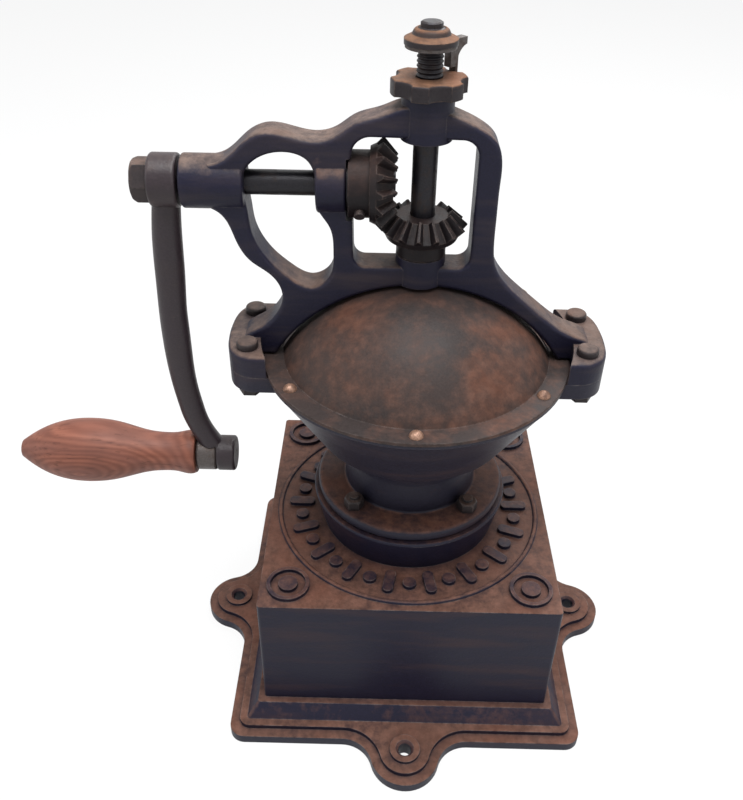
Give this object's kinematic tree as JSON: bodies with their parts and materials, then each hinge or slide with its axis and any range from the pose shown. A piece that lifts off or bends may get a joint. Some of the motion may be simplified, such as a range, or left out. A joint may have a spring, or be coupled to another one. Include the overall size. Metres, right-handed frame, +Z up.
{
  "type": "coffee grinder mill",
  "caption": "Cast-iron counter coffee mill: square footed base with drawer, round hopper with domed cover, arched bridge, bevel gears and hand crank.",
  "frame": {"origin": "centre of the base's underside, on the vertical grinding shaft's axis", "axes": "+Z up along the grinding shaft, -X towards the crank, +Y towards the drawer at the back"},
  "size_m": [0.3619, 0.2634, 0.38],
  "materials": {
    "base_iron": "old dark paint worn to rusty brown iron",
    "hopper_iron": "old dark paint worn to brown iron",
    "dome_iron": "dark brown worn paint with rust at the edges",
    "bridge_iron": "old dark paint, rusty on upper faces",
    "gear_iron": "dull brown rusted iron",
    "nut_iron": "rusted iron",
    "shaft_steel": "dull oiled steel",
    "bolt_steel": "browned steel",
    "rivet_copper": "dull coppery metal",
    "crank_iron": "dark worn iron",
    "ferrule_steel": "dull steel",
    "grip_wood": "worn varnished turned wood",
    "burr_iron": "bare ground iron",
    "drawer_wood": "plain dark wood",
    "drawer_iron": "old dark paint",
    "knob_brass": "dull brass"
  },
  "bodies": {
    "frame": {"base_housing": "base_iron", "hopper": "hopper_iron", "hopper_bolts": "bolt_steel", "hopper_nuts": "bolt_steel", "outer_burr": "burr_iron", "front_dome": "dome_iron", "dome_rivets": "rivet_copper", "bridge_frame": "bridge_iron", "bridge_bolts": "bolt_steel", "bridge_nuts": "bolt_steel"},
    "crank": {"crank_shaft": "shaft_steel", "crank_arm": "crank_iron", "crank_nut": "bolt_steel", "drive_gear": "gear_iron", "drive_gear_screw": "bolt_steel", "thrust_washer": "shaft_steel", "grip_spindle": "shaft_steel", "grip_ferrule": "ferrule_steel"},
    "grip": {"grip": "grip_wood"},
    "driven_gear": {"driven_gear": "gear_iron"},
    "adjuster": {"star_nut": "nut_iron"},
    "spindle": {"vertical_shaft": "shaft_steel", "inner_burr": "burr_iron", "inner_burr_pin": "shaft_steel", "inner_burr_nut": "bolt_steel", "driven_gear_key": "shaft_steel", "lock_claw_washer": "ferrule_steel", "top_cone_nut": "nut_iron"},
    "lid": {"rear_lid": "dome_iron", "lid_knob": "knob_brass"},
    "drawer": {"drawer_tray": "drawer_wood", "drawer_front": "drawer_iron", "drawer_knob": "knob_brass", "drawer_knob_nut": "bolt_steel"}
  },
  "joints": [
    {"name": "crank_turn", "type": "hinge", "parent": "frame", "child": "crank", "pos_m": [0, 0, 0.306], "axis": [1, 0, 0], "continuous": true},
    {"name": "grip_spin", "type": "hinge", "parent": "crank", "child": "grip", "pos_m": [-0.18, 0, 0.1365], "axis": [1, 0, 0], "continuous": true},
    {"name": "gear_turn", "type": "hinge", "parent": "frame", "child": "driven_gear", "pos_m": [0, 0, 0.285], "axis": [0, 0, 1], "continuous": true},
    {"name": "nut_turn", "type": "hinge", "parent": "frame", "child": "adjuster", "pos_m": [0, 0, 0.353], "axis": [0, 0, 1], "continuous": true},
    {"name": "grind_adjust", "type": "slide", "parent": "adjuster", "child": "spindle", "axis": [0, 0, 1], "range_m": [-0.0012, 0.0012]},
    {"name": "lid_turn", "type": "hinge", "parent": "frame", "child": "lid", "pos_m": [0, 0, 0.211], "axis": [0, 0, 1], "range_deg": [0, 132]},
    {"name": "drawer_slide", "type": "slide", "parent": "frame", "child": "drawer", "axis": [0, 1, 0], "range_m": [0, 0.12]}
  ],
  "couplings": [
    {"joint": "gear_turn", "follows": "crank_turn", "ratio": -1},
    {"joint": "nut_turn", "follows": "crank_turn", "ratio": -1}
  ]
}
